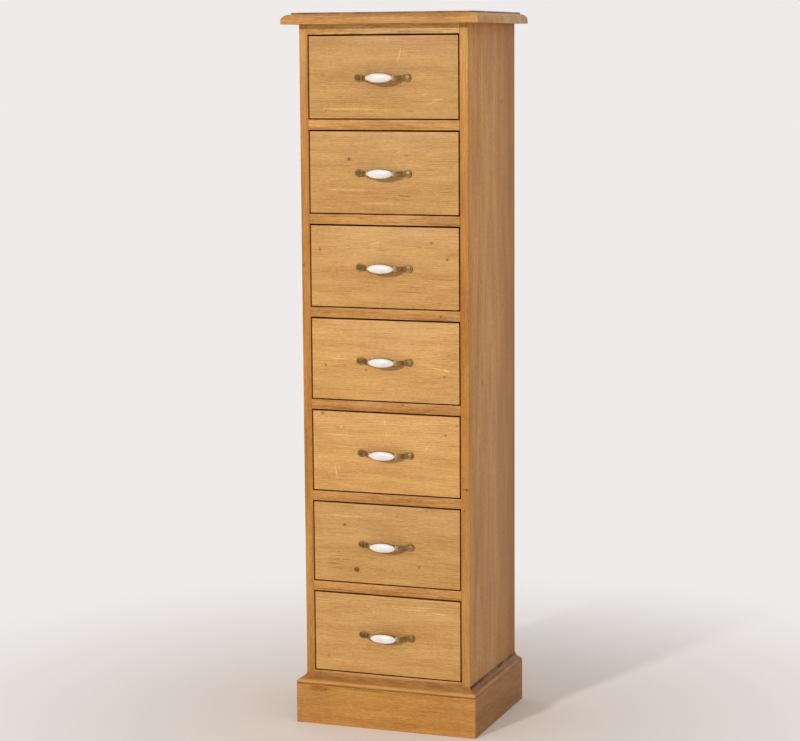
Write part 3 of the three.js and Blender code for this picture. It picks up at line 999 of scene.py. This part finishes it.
def makeDrawerModel():
    # the lowest drawer: its two sides are let into the front and the back with dovetails
    number = drawerNumbers[-1]
    frontLow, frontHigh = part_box(f"drawer_{number}_front")
    frameLow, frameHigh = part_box(f"drawer_{number}_frame")
    bottomLow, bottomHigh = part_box(f"drawer_{number}_bottom")
    gap, grooveGap, grooveDepth = drawer["tailGap"], drawer["grooveGap"], drawer["grooveDepth"]
    inside, outside = frontHigh.x - drawer["wall"], frontHigh.x
    seam, tipY = frontHigh.y + grooveGap, frontHigh.y - drawer["tailLength"]
    grooveLow = Vector((-inside - grooveDepth, frontHigh.y - grooveDepth, bottomLow.z - grooveGap))
    grooveHigh = Vector((inside + grooveDepth, frameHigh.y + mm, bottomHigh.z + grooveGap))

    sideLow, sideHigh = Vector((inside, seam, frameLow.z)), Vector((outside, frameHigh.y, frameHigh.z))
    side = addBlock("drawerRight", sideLow, sideHigh)
    easeEdges(side, drawer["sideArris"])
    combine(side, "UNION", *addTails(sideLow, sideHigh, seam + mm, tipY, 0))
    backFront = frameHigh.y - drawer["wall"]
    backLow = Vector((inside - mm, backFront, grooveHigh.z))
    backHigh = Vector((outside + mm, frameHigh.y, frameHigh.z))
    rootY, endY = backFront - 2 * gap, frameHigh.y + 2 * mm
    pins = addBlock("pins", backLow - Vector((0, gap, gap)), backHigh + Vector((mm, mm, mm)))
    combine(pins, "DIFFERENCE", *addTails(backLow, backHigh, rootY, endY, 0))
    combine(side, "DIFFERENCE", pins, addBlock("groove", grooveLow, grooveHigh))

    back = addBlock("drawerBack", (-outside, backFront, grooveHigh.z), (outside, frameHigh.y, frameHigh.z))
    easeEdges(back, drawer["backArris"])
    cutOnBothSides(back, addTails(backLow, backHigh, rootY, endY, gap))

    front = addBlock("drawerFront", frontLow, frontHigh)
    easeEdges(front, drawer["frontArris"], segments=3)
    socketLow, socketHigh = Vector((inside - gap, 0, sideLow.z)), Vector((outside + mm, 0, sideHigh.z))
    cutOnBothSides(front, addTails(socketLow, socketHigh, frontHigh.y + mm, tipY - gap, gap))
    combine(front, "DIFFERENCE", addBlock("groove", grooveLow, grooveHigh))

    bottom = addBlock("drawerBottom", bottomLow, bottomHigh)
    easeEdges(bottom, drawer["bottomArris"])
    for piece in (side, back, front, bottom):
        faceOut(piece)
    left = mirrorPiece(side, "drawerLeft")
    return {"Front": front, "Right": side, "Left": left, "Back": back, "Bottom": bottom}


handle = {
    "lug": 51 * mm,
    "lugRadius": 7.5 * mm,
    "cradleLength": 28.25 * mm,
    "cradleHeight": 10.25 * mm,
    "insertLength": 26.25 * mm,
    "insertHeight": 8.75 * mm,
    "insertGap": 0.2 * mm,
    "screwRadius": 4.7 * mm,
    "screwHeight": 1.1 * mm,
    "screwSeat": -2.6 * mm,
    "slotWidth": 1.1 * mm,
    "slotTurns": (24, -38),  # degrees, of the left and the right screw
    # share of the height and of the radius, up the side of a screw head and over its top
    "screwCurve": ((0.6, 1.0), (0.2, 0.94), (0.12, 0.8), (0.06, 0.5), (0.02, 0.1)),
    # distance out and share of the full size, from the back of the cradle round its rim into the recess
    "cradleFoot": (14.6, 0.78, 0.70),
    "cradleCurve": (
        (15.2, 0.90, 0.86), (16.6, 0.955, 0.93), (18.6, 0.99, 0.98), (21.0, 1.0, 1.0), (22.0, 0.996, 0.988),
    ),
    "rimTop": (22.5, 0.985, 0.96),
    "insertSeat": 21.25,
    "insertEdge": 23.0,
    "insertTip": (0.03, 0.03),
    "reach": 27.0,
    "recessFloor": 21.0,
    # distance out and share of the lug's radius
    "lugCurve": ((2.0, 1.0), (2.7, 0.97), (3.1, 0.90), (3.15, 0.80), (2.9, 0.73), (2.55, 0.69), (2.5, 0.2)),
    # the arm's path from inside the cradle to the lug: along, out, half thickness and half width
    "armPath": (
        (21.0, 18.4, 2.4, 6.6), (25.0, 18.8, 3.0, 6.9), (28.2, 18.8, 3.2, 6.6), (29.2, 18.5, 2.3, 4.8),
        (30.0, 18.2, 2.2, 4.6), (31.0, 17.7, 2.9, 5.9), (33.0, 15.9, 2.9, 5.7), (35.2, 12.9, 2.6, 5.1),
        (37.4, 9.5, 2.4, 4.7), (39.6, 6.4, 2.2, 4.7), (42.0, 4.1, 1.9, 5.4), (44.6, 2.6, 1.6, 6.4),
        (47.5, 1.6, 1.3, 7.1),
    ),
}


def growRound(piece, start, curve):
    # pulls a disc out to -Y through a list of distances and sizes, as shares of the disc that it starts from
    steps = []
    out, wide, high = start
    for newOut, newWide, newHigh in curve:
        steps.append(((0, (out - newOut) * mm, 0), (newWide / wide, 1, newHigh / high)))
        out, wide, high = newOut, newWide, newHigh
    growFace(piece, lambda face: True, steps)


def makeCradle():
    start = handle["cradleFoot"]
    size = (handle["cradleLength"] * start[1], handle["cradleHeight"] * start[2])
    piece = addDisc("cradle", (0, -start[0] * mm, 0), "-Y", *size, corners=64)
    wide, high = handle["insertLength"] + handle["insertGap"], handle["insertHeight"] + handle["insertGap"]
    mouth = (wide / handle["cradleLength"], high / handle["cradleHeight"])
    rim = handle["rimTop"]
    curve = [*handle["cradleCurve"], rim, (rim[0], *mouth), (handle["recessFloor"], *mouth)]
    growRound(piece, start, curve)
    closeBack(piece)
    return piece


def makeArm():
    path = [(x * mm, -y * mm, t * mm, w * mm) for x, y, t, w in handle["armPath"]]
    x, y, thick, wide = path[0]
    piece = addDisc("arm", (x, y, 0), "X", thick, wide, corners=16)
    pickFaces(piece, lambda face: True)
    lastAngle = 0
    for i in range(1, len(path)):
        newX, newY, newThick, newWide = path[i]
        before, after = path[i - 1], path[min(i + 1, len(path) - 1)]
        angle = math.atan2(after[1] - before[1], after[0] - before[0])
        bpy.ops.mesh.extrude_region_move(TRANSFORM_OT_translate={"value": (newX - x, newY - y, 0)})
        middle = (newX, newY, 0)
        bpy.ops.transform.rotate(value=-lastAngle, orient_axis="Z", center_override=middle)
        bpy.ops.transform.resize(value=(1, newThick / thick, newWide / wide), center_override=middle)
        bpy.ops.transform.rotate(value=angle, orient_axis="Z", center_override=middle)
        x, y, thick, wide, lastAngle = newX, newY, newThick, newWide, angle
    endEdit()
    closeBack(piece)
    applyChange(piece, "SUBSURF", levels=2)
    return piece


def makeLug():
    piece = addDisc("lug", (0, 0, 0), "-Y", handle["lugRadius"], handle["lugRadius"], corners=40)
    growRound(piece, (0, 1, 1), [(out, size, size) for out, size in handle["lugCurve"]])
    closeBack(piece)
    piece.data.transform(Matrix.Translation((handle["lug"], 0, 0)))
    return piece


def makeInsert():
    # a lens of glazed ceramic on a short straight edge
    seat, edge, reach = handle["insertSeat"], handle["insertEdge"], handle["reach"]
    size = (handle["insertLength"], handle["insertHeight"])
    piece = addDisc("handleInsert", (0, -seat * mm, 0), "-Y", *size, corners=64)
    curve = [(edge, 1.0, 1.0)]
    for degrees in range(10, 90, 10):
        angle = math.radians(degrees)
        curve.append((edge + (reach - edge) * math.sin(angle), math.cos(angle), math.cos(angle)))
    curve.append((reach, *handle["insertTip"]))
    growRound(piece, (seat, 1.0, 1.0), curve)
    closeBack(piece)
    return piece


def makeHandleModel(place):
    bow = makeCradle()
    arm, lug = makeArm(), makeLug()
    combine(bow, "UNION", mirrorPiece(arm, "leftArm"), arm)
    combine(bow, "UNION", mirrorPiece(lug, "leftLug"), lug)
    bow.name = "handleBow"
    model = {"Bow": bow, "Insert": makeInsert()}
    for side, x, turn in zip(("Left", "Right"), (-handle["lug"], handle["lug"]), handle["slotTurns"]):
        model[side + "Screw"] = addScrewHead("screw", (x, handle["screwSeat"], 0), handle, turn)
    for piece in model.values():
        piece.data.transform(Matrix.Translation(place))
    return model


frontFinish = {
    "light": colour(219, 171, 104),
    "dark": colour(187, 135, 70),
    "shift": 0.37,  # from one front's pattern to the next
    # painted shade on the faces in the gaps round the front
    "stain": 0.85,
    "stainTone": colour(120, 66, 22),
}

# For each drawer, from the top: the pith behind its front and its tone, and from the front's middle, in
# millimetres, its knots as (x, z, size, strength) and its strokes as (x, z, end x, end z, width, strength)
fronts = {
    1: {
        "pith": (0.045, -0.13), "tone": 0.89,
        "knots": ((-118, -64, 2.4, 0.6), (-125, 4, 2.1, 0.36)),
        "strokes": (
            (39, 60, 28, 22, 1.8, 1.4), (46, 52, 37, 42, 1.3, 0.8), (10, 77, 10, 66, 1.6, 0.8),
            (99, -44, 124, -42, 2.1, 1.7), (86, -52, 113, -46, 1.3, 1.2), (79, -37, 94, -27, 1.6, 1.0),
            (-127, -62, -112, -66, 1.7, 1.2), (-145, -60, 15, -62, 3.0, 1.3), (44, -62, 64, -67, 2.1, -0.8),
        ),
    },
    2: {
        "pith": (0.06, 0.15), "tone": 0.93,
        "knots": ((-71, 26, 3.3, 0.9),),
        "strokes": (
            (24, 38, 38, 41, 1.6, 1.0), (43, 32, 56, 34, 1.6, -1.0), (22, 25, 37, 7, 1.7, 0.8),
            (-138, -33, -16, -34, 3.0, 0.9), (24, -42, 60, -46, 1.7, -1.2), (-73, -60, 63, -58, 3.0, 0.9),
            (105, -28, 148, -29, 1.0, -0.9), (108, -36, 148, -37, 1.0, -0.8), (100, -45, 146, -46, 1.0, -0.9),
            (110, -53, 148, -54, 1.0, -0.7),
        ),
    },
    3: {
        "pith": (0.02, -0.20), "tone": 0.95,
        "knots": ((-134, 32, 2.5, 0.72), (97, 49, 2.7, 0.6), (129, 18, 2.4, 0.72)),
        "strokes": (
            (-35, 43, -1, 51, 1.7, 1.0), (-26, 34, -18, 35, 2.9, 0.7), (-99, 58, -85, 59, 1.6, -0.8),
            (13, -36, 101, -38, 1.4, -0.8), (13, -46, 97, -48, 1.4, -0.8), (98, -33, 140, -36, 1.6, 0.7),
            (80, -20, 149, -22, 1.0, -0.8), (104, -40, 149, -41, 1.0, -0.8), (60, -55, 140, -56, 1.0, -0.7),
        ),
    },
    4: {
        "pith": (0.05, -0.16), "tone": 1.01,
        "knots": ((-124, -13, 2.7, 0.54), (-40, -19, 2.2, 0.6), (122, -26, 2.5, 0.6)),
        "strokes": (
            (-129, 4, -64, -1, 1.7, 1.0), (81, -6, 135, -17, 1.6, 1.2), (120, -12, 134, -16, 2.3, 1.5),
            (65, -3, 118, -6, 1.6, 0.8),
        ),
    },
    5: {
        "pith": (0.08, 0.12), "tone": 1.05,
        "knots": ((-132, 74, 3.0, 0.72), (147, 62, 2.1, 0.6), (124, 42, 2.1, 0.6)),
        "strokes": (
            (-97, 48, -90, 52, 2.0, 1.0), (-142, 34, -60, 32, 2.4, 1.0), (-3, 70, 0, 50, 1.7, 1.0),
            (1, 46, 2, 30, 1.6, 1.0), (81, 5, 89, 24, 2.0, 0.8), (-108, -26, -101, -56, 2.0, 1.2),
            (-100, -27, -96, -36, 1.6, 0.8),
        ),
    },
    6: {
        "pith": (0.055, -0.11), "tone": 0.88,
        "knots": ((-88, 36, 3.0, 0.84), (-63, -53, 5.4, 1.0), (23, 59, 2.1, 0.48), (68, -40, 2.2, 0.6)),
        "strokes": (
            (-128, 55, -55, 51, 3.2, 1.0), (-68, 55, -50, 53, 2.1, 1.5), (-137, -36, -69, -34, 1.8, -1.4),
            (-134, -44, -93, -43, 1.7, -1.2), (-120, 18, -60, 19, 1.3, -0.7),
            (-128, -20, -85, -19, 1.2, -1.0), (-130, -52, -88, -53, 1.4, -1.0),
            (-125, -28, -72, -27, 1.0, -0.9),
        ),
    },
    7: {
        "pith": (0.04, 0.09), "tone": 0.91,
        "knots": ((-124, -48, 2.2, 0.6),),
        "strokes": (
            (34, 57, 86, 56, 1.7, 0.8), (83, 54, 143, 49, 1.7, 1.2), (50, 63, 100, 62, 1.4, 0.7),
            (-30, 54, -25, 40, 1.7, 0.8), (-17, 55, -22, 40, 1.7, 0.8), (-123, -55, -82, -57, 1.4, 0.6),
        ),
    },
}


def makeFrontWood(number, middle):
    look = fronts[number]
    light, dark = (
        (*(part * look["tone"] for part in frontFinish[name][:3]), 1) for name in ("light", "dark")
    )
    knots = []
    for x, z, size, strength in look["knots"]:
        knots.append((onFront(x * mm, middle + z * mm), size * mm, strength))
    strokes = []
    for x, z, endX, endZ, width, strength in look["strokes"]:
        strokes.append(((x * mm, middle + z * mm), (endX * mm, middle + endZ * mm), width * mm, strength))
    shift = (frontFinish["shift"] * number, -body["front"], -middle)
    changes = {"pith": look["pith"], "stain": frontFinish["stain"], "stainTone": frontFinish["stainTone"]}
    return makeWood(f"front{number}Wood", light, dark, "X", shift, knots, strokes, **changes)


# For each piece of a drawer its slot, its material, where None is the front's own wood, and its node
drawerPieces = {
    "Front": ("front_wood", None, "front"),
    "Right": ("plain_wood", plainAlongY, "frame"),
    "Left": ("plain_wood", plainAlongY, "frame"),
    "Back": ("plain_wood", plainAlongX, "frame"),
    "Bottom": ("plain_wood", plainAlongX, "bottom"),
}
handlePieces = {
    "Bow": ("bronze", oldBronze, "bow"),
    "Insert": ("ceramic", whiteGlaze, "insert"),
    # one screw head in two tones: painted shade on the left, painted highlight on the right
    "LeftScrew": ("bronze", darkBronze, None),
    "RightScrew": ("bronze", highlightScrewBronze, None),
}


def makeDrawers():
    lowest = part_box("drawer_7_front")[0].z
    boxModel = makeDrawerModel()
    print("one drawer is modelled")
    bowLow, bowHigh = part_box("handle_7_bow")
    handleModel = makeHandleModel((0, body["front"], (bowLow.z + bowHigh.z) / 2))
    print("one handle is modelled")
    groups = (("drawer", boxModel, drawerPieces), ("handle", handleModel, handlePieces))
    for number in drawerNumbers:
        frontLow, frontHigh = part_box(f"drawer_{number}_front")
        move = (0, 0, frontLow.z - lowest)
        frontWood = makeFrontWood(number, (frontLow.z + frontHigh.z) / 2)
        for kind, model, pieces in groups:
            for part, (slot, material, node) in pieces.items():
                piece = copyPiece(model[part], f"{kind}{number}{part}", move)
                nodes = [f"{kind}_{number}_{node}"] if node else []
                finishPiece(piece, f"drawer_{number}", slot, material or frontWood, *nodes)
    for piece in [*boxModel.values(), *handleModel.values()]:
        bpy.data.objects.remove(piece)


makeDrawers()
print("seven drawers are in place")
